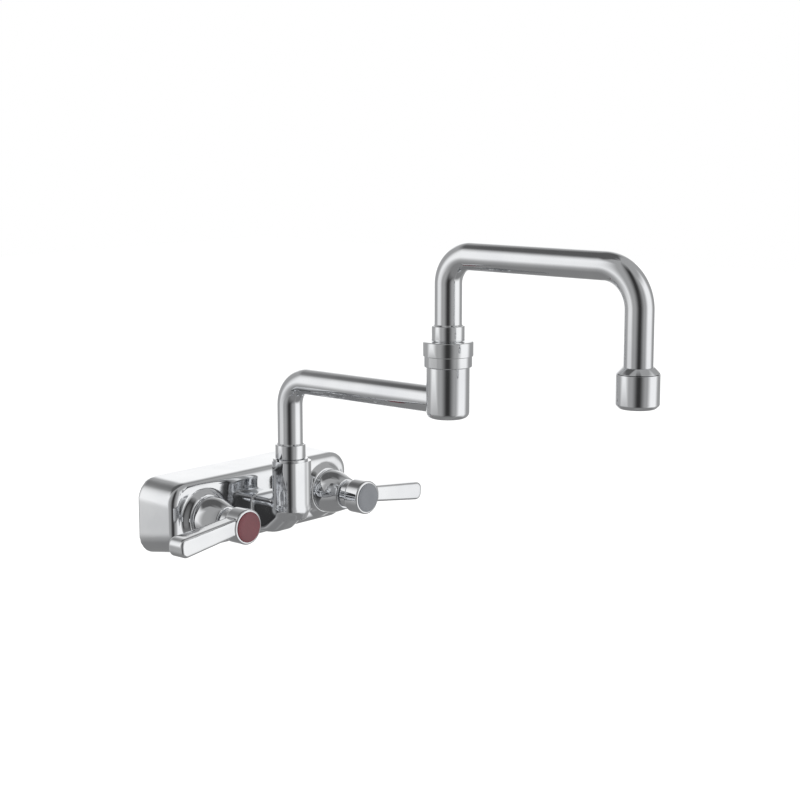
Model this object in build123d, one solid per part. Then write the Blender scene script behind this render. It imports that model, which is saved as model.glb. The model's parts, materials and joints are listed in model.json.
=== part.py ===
from build123d import *
import os
from math import cos, pi, sin

# Commercial wall faucet with a double-jointed spout.
#
# Millimetres. The origin lies on the wall, at the height of the valve axes and midway
# between them. +X points to the user's right, +Y into the wall and +Z up, so everything
# stands out of the wall towards -Y. A distance from the wall towards the user is called
# a depth here, and is a positive number.

# ---------------------------------------------------------------- clearances
BRAZE_GAP = 0.05      # radial gap that solder fills where a tube sits in a socket
RUNNING_GAP = 0.05    # radial gap of a shaft that turns in its bore
SEAT_GAP = 0.3        # gap between a moving piece and a fixed one beside it
THREAD_GAP = 0.05     # radial gap between screwed pieces, drawn without their threads
LOOSE_GAP = 0.2       # radial gap round a piece that is only laid or snapped in
MARGIN = 1.0          # how far a cut runs past the face it opens

# ---------------------------------------------------------------- base block
INLET_SPACING = 101.6     # four-inch centres between the two valve axes
BASE_END_REACH = 23.7     # valve axis to the end of the block
BASE_TOP = 22.4           # upper edge at the wall, over the valve axes
BASE_BOTTOM = -23.4       # lower edge at the wall
BASE_DEPTH = 29.5
BASE_CORNER_R = 12.5      # corners of the block, seen from the front
BASE_END_DRAFT = 0.4      # how far each end leans in from the wall to the front
BASE_TOP_DRAFT = 1.0      # how far the top comes down to the front
BASE_BOTTOM_DRAFT = 4.4   # how far the bottom comes up to the front
BASE_EDGE_R = 5.0         # rounding of the front edge
POCKET_WALL = 3.5         # wall left round the cored pocket in the back
POCKET_DEPTH = 12.0
POCKET_CORNER_R = 5.0
RIB_WIDTH = 10.0          # rib across the middle of the pocket, flush with the wall

INLET_R = 9.9             # pitch radius of a half-inch pipe thread
INLET_CHAMFER = 0.8
INLET_WALL = 4.2          # wall round each inlet thread

# ---------------------------------------------------------------- valve bosses
BOSS_ROOT_R = 19.4        # foot of the flare, inside the block
BOSS_ROOT_DEPTH = 25.5
BOSS_TIP_R = 14.1
BOSS_DEPTH = 34.0
BOSS_EDGE_R = 0.5

SEAT_HOLE_R = 5.0         # water way through the valve seat
SEAT_WEB = 2.0            # metal between the inlet thread and the valve seat
CHAMBER_R = 9.0           # bore that holds the cartridge
CHAMBER_LENGTH = 20.0     # front of the boss to the valve seat
GALLERY_R = 3.5           # cross bore from valve to valve

# ---------------------------------------------------------------- cartridge
SEAL_THICK = 1.3
CAGE_WALL = 1.5
CAGE_LIP = 0.8            # lip that holds the fixed disc in the cage
CAGE_LIP_WIDTH = 1.2
DISC_THICK = 2.6
DISC_GAP = 0.1            # radial gap of the discs in the cage
PORT_R = 1.7              # ports in the fixed disc
PORT_OFFSET = 3.9
NOTCH_WIDTH = 4.6         # notches in the moving disc, which free the ports
TANG_LENGTH = 8.0
TANG_WIDTH = 2.0
TANG_DEPTH = 1.3
TANG_GAP = 0.1
DRIVE_THICK = 2.4         # head of the spindle, which carries the tang
STEM_R = 4.5
STEM_RING_SECTION = 1.5   # section of the spindle's rings
STEM_RING_PITCH = 3.4
WINDOW_WIDTH = 7.0        # side windows of the cage
WINDOW_HEIGHT = 4.4
THREAD_R = 10.3           # thread of the cartridge body in the boss
THREAD_LENGTH = 7.5
FLANGE_THICK = 1.8
HEX_WIDTH = 17.0          # across flats
HEX_LENGTH = 6.0
FACE_RING_SECTION = 1.5   # rubber ring under the flange
CLIP_THICK = 0.8
CLIP_WIDTH = 1.6
CLIP_GRIP = 0.6           # how far the clip reaches into its groove
CLIP_MOUTH = 5.0

# ---------------------------------------------------------------- bonnet cap
CAP_R = 13.4
CAP_STRAIGHT = 6.5        # cylinder before the cap begins to narrow
CAP_LENGTH = 16.4
CAP_NOSE_R = 9.4
CAP_WALL = 1.2
CAP_EDGE_R = 0.6
CAP_BEND_R = 6.0          # rounding where the cap begins to narrow

# ---------------------------------------------------------------- handle
NECK_R = 8.2
NECK_LENGTH = 5.6
HANDLE_HUB_R = 10.3
HANDLE_HUB_LENGTH = 11.0
HANDLE_EDGE_R = 1.0
SPLINE_R = 4.0
SPLINE_COUNT = 20
SPLINE_TOOTH = 0.4
SPLINE_LENGTH = 9.5
SOCKET_GAP = 0.1
LEVER_REACH = 51.5        # valve axis to the tip of the lever
LEVER_DROOP = 6.6         # degrees below level
LEVER_RISE = 1.8          # how far its middle line passes above the valve axis
LEVER_ROOT_HEIGHT = 9.6
LEVER_TIP_HEIGHT = 11.3
LEVER_ROOT_DEPTH = 9.0
LEVER_TIP_DEPTH = 12.0
LEVER_EDGE_R = 1.8
LEVER_END_R = 4.0
SCREW_R = 2.0
SCREW_HEAD_R = 3.6
SCREW_HEAD_THICK = 2.2
SCREW_LENGTH = 11.0
SCREW_SLOT = 0.9
SCREW_SLOT_DEPTH = 1.0
BUTTON_R = 8.8
BUTTON_GAP = 0.1
BUTTON_THICK = 2.4
BUTTON_EDGE_R = 1.0
BUTTON_PROUD = 0.9        # how far the button stands out of the handle

# ---------------------------------------------------------------- spout hub
HUB_DEPTH = 51.4          # wall to the first swivel axis
HUB_R = 11.0              # round back of the hub, seen from above
HUB_FRONT = 10.7          # its axis to its flat front
HUB_CORNER_R = 7.5        # upright corners beside that flat
HUB_TOP = 29.0
HUB_TOP_CHAMFER = 0.6
HUB_FOOT_STEP = 0.4       # how far the foot stands out all round
HUB_FOOT_TOP = 1.2
HUB_FOOT_BASE = -1.0
NOSE_WIDTH = 21.0
NOSE_TOP = 6.0
KEEL_BOTTOM = -15.0       # lowest point of the nose
KEEL_SETBACK = 5.9        # where the keel starts to rise, behind the hub's axis
NOSE_END_R = 10.9         # front end, seen from above: a little inside the hub
NOSE_EDGE_R = 4.0         # rounding along its top
KEEL_EDGE_R = 3.0         # rounding round its underside
NOSE_FRONT = 9.6          # how far the plate reaches in front of the hub's axis
NOSE_FLARE_WIDTH = 42.0   # foot of the nose, inside the block
NOSE_FLARE_HEIGHT = 28.0
NOSE_FLARE_FROM = 22.0
NOSE_FLARE_TO = 38.0
NOSE_FLARE_CORNER_R = 8.0
NOSE_PASSAGE_R = 4.0      # water way from the gallery to the foot of the hub
NOSE_PASSAGE_END = 2.0    # how far it runs past the hub's axis

# ---------------------------------------------------------------- tubes
TUBE_R = 7.5              # fifteen millimetres across
TUBE_WALL = 1.1
LOWER_REACH = 120.0       # first swivel axis to second swivel axis
UPPER_REACH = 122.0       # second swivel axis to outlet axis
LOWER_BEND_R = 15.0
UPPER_BEND_R = 15.5
OUTLET_BEND_R = 21.0
LOWER_RISE = 48.6         # top of the hub to the axis of the lower arm
UPPER_RISE = 46.6         # top of the joint nut to the axis of the upper arm

# ---------------------------------------------------------------- swivels
SWIVEL_R = 7.75           # stem of both swivels
SWIVEL_BORE_R = 5.0
SWIVEL_FLANGE_R = 9.1
SWIVEL_FLANGE_THICK = 2.4
COLLAR_R = 9.0
COLLAR_CHAMFER = 0.5
SOCKET_DEPTH = 5.0        # how far a tube reaches into its collar
TUBE_STOP = 1.0           # from the stem's radius to the end of the lower tube
WASHER_THICK = 0.5
RING_SECTION = 1.8
RING_PITCH = 4.6
RING_FIRST = 4.0          # lower end of a stem to its first ring

LOWER_STEM_LENGTH = 15.0  # part of the lower stem below its flange
LOWER_BORE_BOTTOM = 4.0
GLAND_R = 9.4
GLAND_FLANGE_R = 10.4
GLAND_FLANGE_THICK = 1.5
GLAND_NOTCH = 2.0
LOWER_COLLAR_LENGTH = 8.2

BLOCK_R = 11.85
BLOCK_BELOW = 9.3         # axis of the lower arm to the bottom of the block
BLOCK_LENGTH = 28.3
BLOCK_FOOT_R = 3.5
BLOCK_FLOOR = 3.0
BLOCK_NECK_R = 10.7
BLOCK_NECK_LENGTH = 8.0
UPPER_STEM_LENGTH = 13.0
NUT_LOWER_R = 13.2
NUT_UPPER_R = 13.85
NUT_LOWER_LENGTH = 6.0
NUT_UPPER_LENGTH = 8.0
NUT_EDGE = 0.6
UPPER_COLLAR_LENGTH = 8.2

# ---------------------------------------------------------------- outlet
OUTLET_DROP = 49.2        # axis of the upper arm to the top of the taper
TAPER_LENGTH = 3.4
ADAPTER_SOCKET = 4.0
ADAPTER_LIP = 0.6         # edge left at the top of the taper
ADAPTER_THREAD_R = 9.4
ADAPTER_THREAD_LENGTH = 6.0
AERATOR_R = 11.15
AERATOR_LENGTH = 17.4
AERATOR_CHAMFER = 1.8
AERATOR_LIP = 1.3
INSERT_HEIGHT = 6.0
INSERT_HOLE_R = 0.8
INSERT_HOLES = 12
INSERT_RING_R = 4.8
SCREEN_THICK = 0.8
SCREEN_PITCH = 2.0
SCREEN_HOLE_R = 0.7
OUTLET_WASHER_THICK = 1.6

# ---------------------------------------------------------------- places that follow
VALVE_X = INLET_SPACING / 2
BASE_LENGTH = INLET_SPACING + 2 * BASE_END_REACH
SEAT_DEPTH = BOSS_DEPTH - CHAMBER_LENGTH
INLET_DEPTH = SEAT_DEPTH - SEAT_WEB
KEEL_FLAT_DEPTH = HUB_DEPTH - KEEL_SETBACK
CAGE_FROM = SEAT_DEPTH + SEAL_THICK
CAGE_R = CHAMBER_R - LOOSE_GAP
CAGE_BORE_R = CAGE_R - CAGE_WALL
DISC_R = CAGE_BORE_R - DISC_GAP
FIXED_DISC_FROM = CAGE_FROM + CAGE_LIP
MOVING_DISC_FROM = FIXED_DISC_FROM + DISC_THICK
DRIVE_FROM = MOVING_DISC_FROM + DISC_THICK
DRIVE_TO = DRIVE_FROM + DRIVE_THICK
GALLERY_DEPTH = MOVING_DISC_FROM + DISC_THICK / 2
THREAD_FROM = BOSS_DEPTH - THREAD_LENGTH
FLANGE_TO = BOSS_DEPTH + FLANGE_THICK
HEX_TO = FLANGE_TO + HEX_LENGTH
CLIP_FROM = HEX_TO + SEAT_GAP
CLIP_TO = CLIP_FROM + CLIP_THICK
CAP_FROM = BOSS_DEPTH
CAP_TO = CAP_FROM + CAP_LENGTH
NECK_FROM = CAP_TO + SEAT_GAP
NECK_TO = NECK_FROM + NECK_LENGTH
HANDLE_FACE = NECK_TO + HANDLE_HUB_LENGTH
SPINDLE_TO = NECK_FROM + SPLINE_LENGTH
SOCKET_TO = SPINDLE_TO + SEAT_GAP
BUTTON_FROM = HANDLE_FACE + BUTTON_PROUD - BUTTON_THICK
HEAD_FROM = BUTTON_FROM - SEAT_GAP - SCREW_HEAD_THICK
SWIVEL_1 = (0.0, -HUB_DEPTH)
SWIVEL_2 = (0.0, -HUB_DEPTH - LOWER_REACH)
OUTLET = (0.0, SWIVEL_2[1] - UPPER_REACH)
LOWER_ARM_Z = HUB_TOP + LOWER_RISE
BLOCK_BOTTOM = LOWER_ARM_Z - BLOCK_BELOW
BLOCK_TOP = BLOCK_BOTTOM + BLOCK_LENGTH
NUT_STEP_Z = BLOCK_TOP + NUT_LOWER_LENGTH
NUT_TOP = NUT_STEP_Z + NUT_UPPER_LENGTH
UPPER_ARM_Z = NUT_TOP + UPPER_RISE
ADAPTER_TOP = UPPER_ARM_Z - OUTLET_DROP
LOWER_STEM_Z = LOWER_BORE_BOTTOM + SEAT_GAP
LOWER_FLANGE_Z = LOWER_STEM_Z + LOWER_STEM_LENGTH
LOWER_WASHER_Z = LOWER_FLANGE_Z - WASHER_THICK
GLAND_FROM = LOWER_FLANGE_Z + SWIVEL_FLANGE_THICK + SEAT_GAP
LOWER_COLLAR_Z = HUB_TOP + GLAND_FLANGE_THICK + SEAT_GAP
BLOCK_NECK_TOP = BLOCK_TOP + BLOCK_NECK_LENGTH
UPPER_FLANGE_Z = BLOCK_NECK_TOP - SEAT_GAP - SWIVEL_FLANGE_THICK
UPPER_WASHER_Z = UPPER_FLANGE_Z - WASHER_THICK
UPPER_STEM_Z = UPPER_FLANGE_Z - UPPER_STEM_LENGTH
UPPER_COLLAR_Z = NUT_TOP + SEAT_GAP
TAPER_BOTTOM = ADAPTER_TOP - TAPER_LENGTH
ADAPTER_BOTTOM = TAPER_BOTTOM - ADAPTER_THREAD_LENGTH
AERATOR_BOTTOM = TAPER_BOTTOM - AERATOR_LENGTH
INSERT_TO = ADAPTER_BOTTOM - OUTLET_WASHER_THICK
INSERT_FROM = INSERT_TO - INSERT_HEIGHT
SCREEN_FROM = INSERT_FROM - SCREEN_THICK
TUBE_END = SWIVEL_R + TUBE_STOP
LOW = (Align.CENTER, Align.CENTER, Align.MIN)


# ---------------------------------------------------------------- helpers
def bar(radius, start, end):
    """A round bar on the local Z axis between two heights."""
    return Pos(0, 0, start) * Cylinder(radius, end - start, align=LOW)


def pipe(outer, inner, start, end):
    """A round pipe on the local Z axis between two heights."""
    return bar(outer, start, end) - bar(inner, start - MARGIN, end + MARGIN)


def turned(*points):
    """A solid of revolution from (radius, height) points that run once round its section."""
    section = make_face(Polyline(*[(radius, 0, height) for radius, height in points], close=True))
    return revolve(section, Axis.Z)


def ring(mean_radius, section_radius, height):
    """A round-section ring about the local Z axis."""
    return Pos(0, 0, height) * Torus(mean_radius, section_radius)


def edges_at(solid, height, tolerance=0.01):
    """Edges of a solid that lie wholly at one height on the local Z axis."""
    return [
        edge
        for edge in solid.edges()
        if abs(edge.bounding_box().min.Z - height) < tolerance
        and abs(edge.bounding_box().max.Z - height) < tolerance
    ]


def outward(x, z=0.0):
    """The place of a piece that is drawn along Z and points out of the wall."""
    return Pos(x, 0, z) * Rot(90, 0, 0)


def upright(place, z=0.0):
    """The place of a piece that stands on a vertical axis."""
    return Pos(place[0], place[1], z)


def save(name, shape):
    """Writes one named sub-part."""
    export_step(shape, f"parts/{name}.step")


# ---------------------------------------------------------------- body casting
def block_outline(depth, inset=0.0):
    """The block's rounded outline at one depth, or the same drawn in by an inset."""
    share = depth / BASE_DEPTH
    length = BASE_LENGTH - 2 * (BASE_END_DRAFT * share + inset)
    top = BASE_TOP - BASE_TOP_DRAFT * share - inset
    bottom = BASE_BOTTOM + BASE_BOTTOM_DRAFT * share + inset
    outline = RectangleRounded(length, top - bottom, BASE_CORNER_R - inset)
    return Pos(0, (top + bottom) / 2, depth) * outline


def base_block():
    """The drafted block with its rounded front edge, drawn along Z from the wall."""
    block = loft([block_outline(0), block_outline(BASE_DEPTH)])
    return fillet(edges_at(block, BASE_DEPTH), BASE_EDGE_R)


def back_pocket():
    """The cored pocket in the back of the block, round the inlets and parted by a rib."""
    pocket = loft([block_outline(0, POCKET_WALL), block_outline(POCKET_DEPTH, POCKET_WALL)])
    pocket = fillet(edges_at(pocket, POCKET_DEPTH), POCKET_CORNER_R)
    for side in (-1, 1):
        pocket -= Pos(side * VALVE_X, 0, 0) * bar(INLET_R + INLET_WALL, -MARGIN, POCKET_DEPTH + MARGIN)
    rib = Box(RIB_WIDTH, BASE_TOP - BASE_BOTTOM, POCKET_DEPTH, align=LOW)
    return pocket - Pos(0, (BASE_TOP + BASE_BOTTOM) / 2, 0) * rib


def valve_boss():
    """The cone that holds one cartridge, on the local Z axis from the wall outwards."""
    boss = turned(
        (0, BOSS_ROOT_DEPTH),
        (BOSS_ROOT_R, BOSS_ROOT_DEPTH),
        (BOSS_TIP_R, BOSS_DEPTH),
        (0, BOSS_DEPTH),
    )
    return fillet(edges_at(boss, BOSS_DEPTH), BOSS_EDGE_R)


def valve_bores():
    """Inlet thread, seat hole, cartridge chamber and cartridge thread of one valve."""
    inlet = bar(INLET_R, -MARGIN, INLET_DEPTH)
    mouth = turned(
        (0, -MARGIN),
        (INLET_R + INLET_CHAMFER + MARGIN, -MARGIN),
        (INLET_R, INLET_CHAMFER),
        (0, INLET_CHAMFER),
    )
    seat = bar(SEAT_HOLE_R, 0, SEAT_DEPTH + MARGIN)
    chamber = bar(CHAMBER_R, SEAT_DEPTH, BOSS_DEPTH)
    thread = bar(THREAD_R + THREAD_GAP, THREAD_FROM - SEAT_GAP, BOSS_DEPTH + MARGIN)
    ring_seat_r = THREAD_R + THREAD_GAP + FACE_RING_SECTION
    ring_seat = bar(ring_seat_r, BOSS_DEPTH - FACE_RING_SECTION, BOSS_DEPTH + MARGIN)
    return inlet + mouth + seat + chamber + thread + ring_seat


def nose():
    """The nose and keel that carry the spout hub, with a rounded front end under the hub."""
    height = NOSE_TOP - KEEL_BOTTOM
    profile = Polyline(
        (0, -SEAT_DEPTH, NOSE_TOP),
        (0, -HUB_DEPTH, NOSE_TOP),
        (0, -HUB_DEPTH - NOSE_FRONT, HUB_FOOT_BASE),
        (0, -KEEL_FLAT_DEPTH, KEEL_BOTTOM),
        (0, -SEAT_DEPTH, KEEL_BOTTOM),
        close=True,
    )
    plate = extrude(make_face(profile), NOSE_WIDTH / 2, both=True)
    plate = fillet(plate.edges().filter_by(Axis.Y).group_by(Axis.Z)[-1], NOSE_EDGE_R)
    room = Box(NOSE_WIDTH, HUB_DEPTH, height, align=(Align.CENTER, Align.MAX, Align.MIN))
    room += upright(SWIVEL_1) * bar(NOSE_END_R, 0, height)
    plate &= Pos(0, 0, KEEL_BOTTOM) * room
    below = [edge for edge in plate.edges() if edge.center().Z < HUB_FOOT_BASE]
    return fillet(below, KEEL_EDGE_R)


def nose_flare():
    """The foot of the nose, which widens into the block, drawn along Z from the wall."""
    wide = RectangleRounded(NOSE_FLARE_WIDTH, NOSE_FLARE_HEIGHT, NOSE_FLARE_CORNER_R)
    slim = RectangleRounded(NOSE_WIDTH, NOSE_TOP - KEEL_BOTTOM, KEEL_EDGE_R)
    middle = (NOSE_TOP + KEEL_BOTTOM) / 2
    return loft([Pos(0, middle, NOSE_FLARE_FROM) * wide, Pos(0, middle, NOSE_FLARE_TO) * slim])


def hub_outline(step=0.0):
    """The hub seen from above, round behind and flat in front, or grown by a step."""
    room = Pos(0, -HUB_R) * Rectangle(4 * HUB_R, 2 * HUB_R)
    front = RectangleRounded(2 * (HUB_R + step), 2 * (HUB_FRONT + step), HUB_CORNER_R + step)
    return Circle(HUB_R + step) + (front & room)


def hub_post(start, end, step=0.0):
    """A length of the hub between two heights."""
    return Pos(0, 0, start) * extrude(hub_outline(step), end - start)


def body_casting():
    """The one-piece brass casting, with its water ways bored through it."""
    block = outward(0) * (base_block() - back_pocket())
    for side in (-1, 1):
        block += outward(side * VALVE_X) * valve_boss()
    block += nose()
    block += outward(0) * nose_flare()
    hub = hub_post(HUB_FOOT_BASE, HUB_TOP)
    hub = chamfer(edges_at(hub, HUB_TOP), HUB_TOP_CHAMFER)
    foot = hub_post(HUB_FOOT_BASE, HUB_FOOT_TOP, HUB_FOOT_STEP)
    block += upright(SWIVEL_1) * (hub + foot)
    for side in (-1, 1):
        block -= outward(side * VALVE_X) * valve_bores()
    gallery = Rot(0, 90, 0) * bar(GALLERY_R, -VALVE_X, VALVE_X)
    block -= Pos(0, -GALLERY_DEPTH, 0) * gallery
    block -= outward(0) * bar(NOSE_PASSAGE_R, GALLERY_DEPTH, HUB_DEPTH + NOSE_PASSAGE_END)
    block -= upright(SWIVEL_1) * bar(SWIVEL_BORE_R, 0, LOWER_BORE_BOTTOM + MARGIN)
    block -= upright(SWIVEL_1) * bar(SWIVEL_R + RUNNING_GAP, LOWER_BORE_BOTTOM, HUB_TOP)
    return block - upright(SWIVEL_1) * bar(GLAND_R + THREAD_GAP, LOWER_WASHER_Z, HUB_TOP + MARGIN)


# ---------------------------------------------------------------- cartridge pieces
def seat_seal():
    """The rubber washer between the valve seat and the cartridge."""
    return pipe(CHAMBER_R - LOOSE_GAP, SEAT_HOLE_R, SEAT_DEPTH, CAGE_FROM)


def cartridge_cage():
    """The plastic sleeve that holds the discs, with a window to each end of the gallery."""
    cage = pipe(CAGE_R, CAGE_BORE_R, CAGE_FROM, THREAD_FROM)
    cage += pipe(CAGE_R, CAGE_BORE_R - CAGE_LIP_WIDTH, CAGE_FROM, FIXED_DISC_FROM)
    window = Box(2 * CHAMBER_R, WINDOW_WIDTH, WINDOW_HEIGHT)
    return cage - Pos(0, 0, GALLERY_DEPTH) * window


def fixed_disc():
    """The ceramic disc that stands still, with its two ports above and below the axis."""
    disc = bar(DISC_R, FIXED_DISC_FROM, MOVING_DISC_FROM)
    for side in (-1, 1):
        disc -= Pos(0, side * PORT_OFFSET, 0) * bar(PORT_R, 0, DRIVE_FROM)
    return disc


def tang(gap=0.0):
    """The flat drive of the spindle, or its slot where a gap is given."""
    block = Box(TANG_WIDTH + 2 * gap, TANG_LENGTH + 2 * gap, TANG_DEPTH + gap, align=LOW)
    return Pos(0, 0, DRIVE_FROM - TANG_DEPTH - gap) * block


def moving_disc():
    """The ceramic disc that turns, notched at both sides, and slotted for the tang."""
    disc = bar(DISC_R, MOVING_DISC_FROM, DRIVE_FROM)
    reach = PORT_OFFSET - PORT_R - DISC_GAP
    notch = Box(DISC_R, NOTCH_WIDTH, DISC_THICK, align=(Align.MIN, Align.CENTER, Align.MIN))
    for turn in (0, 180):
        disc -= Rot(0, 0, turn) * Pos(reach, 0, MOVING_DISC_FROM) * notch
    return disc - tang(TANG_GAP)


def spline(radius, start, end):
    """A splined shaft, as a star of small teeth."""
    points = []
    for step in range(2 * SPLINE_COUNT):
        angle = pi * step / SPLINE_COUNT
        reach = radius - SPLINE_TOOTH * (step % 2)
        points.append((reach * cos(angle), reach * sin(angle)))
    return Pos(0, 0, start) * extrude(make_face(Polyline(*points, close=True)), end - start)


def stem_ring_heights():
    """Heights of the spindle's two rings, midway in the bore of the cartridge body."""
    middle = (THREAD_FROM + HEX_TO) / 2
    return [middle - STEM_RING_PITCH / 2, middle + STEM_RING_PITCH / 2]


def groove(radius, section, height):
    """The ring-shaped cut that seats a round ring flush with a shaft."""
    half = section / 2 + RUNNING_GAP
    return pipe(radius + MARGIN, radius - section - RUNNING_GAP, height - half, height + half)


def flush_ring(radius, section, height):
    """The round ring that lies in such a groove."""
    return ring(radius - section / 2, section / 2, height)


def spindle():
    """The turned shaft that drives the moving disc, bored for the handle screw."""
    shaft = bar(DISC_R, DRIVE_FROM, DRIVE_TO) + tang()
    shaft += bar(STEM_R, DRIVE_TO, NECK_FROM)
    shaft += spline(SPLINE_R, NECK_FROM, SPINDLE_TO)
    for height in stem_ring_heights():
        shaft -= groove(STEM_R, STEM_RING_SECTION, height)
    shaft -= pipe(STEM_R + MARGIN, STEM_R - CLIP_GRIP, CLIP_FROM, CLIP_TO)
    return shaft - bar(SCREW_R + THREAD_GAP, HEAD_FROM - SCREW_LENGTH - SEAT_GAP, SPINDLE_TO + MARGIN)


def spindle_rings():
    """The two rubber rings that seal the spindle."""
    first, second = [flush_ring(STEM_R, STEM_RING_SECTION, height) for height in stem_ring_heights()]
    return first + second


def spindle_clip():
    """The open spring clip that keeps the spindle in the cartridge body."""
    clip = pipe(STEM_R + CLIP_WIDTH, STEM_R - CLIP_GRIP, CLIP_FROM, CLIP_TO)
    mouth = Box(2 * CLIP_WIDTH + STEM_R, CLIP_MOUTH, CLIP_THICK, align=(Align.MIN, Align.CENTER, Align.MIN))
    return clip - Pos(0, 0, CLIP_FROM) * mouth


def cartridge_body():
    """The brass body that screws into the boss, with its flange and hexagon."""
    body = bar(THREAD_R, THREAD_FROM, BOSS_DEPTH)
    body += bar(CAGE_BORE_R - LOOSE_GAP, DRIVE_TO + SEAT_GAP, THREAD_FROM)
    body += bar(CAP_R - CAP_WALL - THREAD_GAP, BOSS_DEPTH, FLANGE_TO)
    hexagon = extrude(RegularPolygon(HEX_WIDTH / 2, 6, major_radius=False), HEX_LENGTH)
    body += Pos(0, 0, FLANGE_TO) * hexagon
    return body - bar(STEM_R + RUNNING_GAP, DRIVE_TO, HEX_TO + MARGIN)


def face_ring():
    """The rubber ring in the mouth of the boss, under the flange."""
    radius = THREAD_R + THREAD_GAP + FACE_RING_SECTION
    return flush_ring(radius, FACE_RING_SECTION, BOSS_DEPTH - FACE_RING_SECTION / 2)


def bonnet_cap():
    """The polished hollow cap that screws over the flange and hides the cartridge."""
    shoulder = CAP_FROM + CAP_STRAIGHT
    outside = turned((0, CAP_FROM), (CAP_R, CAP_FROM), (CAP_R, shoulder), (CAP_NOSE_R, CAP_TO), (0, CAP_TO))
    outside = fillet(edges_at(outside, shoulder), CAP_BEND_R)
    outside = fillet(edges_at(outside, CAP_TO), CAP_EDGE_R)
    bore = CAP_R - CAP_WALL
    roof = CAP_TO - CAP_WALL
    nose_bore = CAP_NOSE_R - CAP_WALL
    inside = turned((0, CAP_FROM), (bore, CAP_FROM), (bore, shoulder), (nose_bore, roof), (0, roof))
    return outside - inside - bar(STEM_R + SEAT_GAP, CAP_FROM, CAP_TO + MARGIN)


# ---------------------------------------------------------------- handle pieces
def lever_blade():
    """The tapered bar of the lever, towards +X, wide and deep at its tip."""
    front = Polyline(
        (0, -LEVER_ROOT_HEIGHT / 2),
        (LEVER_REACH, -LEVER_TIP_HEIGHT / 2),
        (LEVER_REACH, LEVER_TIP_HEIGHT / 2),
        (0, LEVER_ROOT_HEIGHT / 2),
        close=True,
    )
    top = Polyline(
        (0, 0, -LEVER_ROOT_DEPTH / 2),
        (LEVER_REACH, 0, -LEVER_TIP_DEPTH / 2),
        (LEVER_REACH, 0, LEVER_TIP_DEPTH / 2),
        (0, 0, LEVER_ROOT_DEPTH / 2),
        close=True,
    )
    upright_bar = extrude(make_face(front), LEVER_TIP_DEPTH, both=True)
    upright_bar = fillet(upright_bar.edges().filter_by(Axis.Z).group_by(Axis.X)[-1], LEVER_END_R)
    flat_bar = extrude(make_face(top), LEVER_TIP_HEIGHT, both=True)
    blade = upright_bar & flat_bar
    return fillet(blade.edges().filter_by_position(Axis.X, MARGIN, LEVER_REACH + MARGIN), LEVER_EDGE_R)


def lever():
    """The cast lever with its hub, bored for the spindle, the screw and the button."""
    hub = bar(HANDLE_HUB_R, NECK_TO, HANDLE_FACE)
    hub = fillet(edges_at(hub, NECK_TO) + edges_at(hub, HANDLE_FACE), HANDLE_EDGE_R)
    middle = (NECK_TO + HANDLE_FACE) / 2
    handle = bar(NECK_R, NECK_FROM, middle) + hub
    handle += Pos(0, LEVER_RISE, middle) * Rot(0, 0, -LEVER_DROOP) * lever_blade()
    handle -= spline(SPLINE_R + SOCKET_GAP, NECK_FROM - MARGIN, SOCKET_TO)
    handle -= bar(SCREW_R + LOOSE_GAP, NECK_FROM, HEAD_FROM + MARGIN)
    handle -= bar(SCREW_HEAD_R + LOOSE_GAP, HEAD_FROM, BUTTON_FROM + MARGIN)
    return handle - bar(BUTTON_R + BUTTON_GAP, BUTTON_FROM, HANDLE_FACE + MARGIN)


def handle_screw():
    """The slotted screw that holds the lever on the spindle."""
    head_top = HEAD_FROM + SCREW_HEAD_THICK
    screw = bar(SCREW_R, HEAD_FROM - SCREW_LENGTH, HEAD_FROM) + bar(SCREW_HEAD_R, HEAD_FROM, head_top)
    slot = Box(2 * SCREW_HEAD_R + MARGIN, SCREW_SLOT, SCREW_SLOT_DEPTH, align=LOW)
    return screw - Pos(0, 0, head_top - SCREW_SLOT_DEPTH) * slot


def index_button():
    """The coloured button that snaps into the front of the handle."""
    button = bar(BUTTON_R, BUTTON_FROM, BUTTON_FROM + BUTTON_THICK)
    return fillet(edges_at(button, BUTTON_FROM + BUTTON_THICK), BUTTON_EDGE_R)


# ---------------------------------------------------------------- swivels and tubes
def swivel_stem(bottom, flange, collar, collar_length):
    """A turned stem with two ring grooves, a flange and the socket for its tube."""
    top = collar + collar_length
    stem = bar(SWIVEL_R, bottom, collar) + bar(SWIVEL_FLANGE_R, flange, flange + SWIVEL_FLANGE_THICK)
    stem += chamfer(edges_at(bar(COLLAR_R, collar, top), top), COLLAR_CHAMFER)
    stem -= bar(SWIVEL_BORE_R, bottom - MARGIN, top)
    stem -= bar(TUBE_R + BRAZE_GAP, top - SOCKET_DEPTH, top + MARGIN)
    for height in swivel_ring_heights(bottom):
        stem -= groove(SWIVEL_R, RING_SECTION, height)
    return stem


def swivel_ring_heights(bottom):
    """Heights of the two rings on a stem whose lower end is given."""
    return [bottom + RING_FIRST, bottom + RING_FIRST + RING_PITCH]


def swivel_rings(bottom):
    """The two rubber rings that seal one swivel."""
    first, second = [flush_ring(SWIVEL_R, RING_SECTION, height) for height in swivel_ring_heights(bottom)]
    return first + second


def thrust_washer(height):
    """The thin plastic washer that a stem's flange turns on."""
    return pipe(SWIVEL_FLANGE_R, SWIVEL_R + LOOSE_GAP, height, height + WASHER_THICK)


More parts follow.
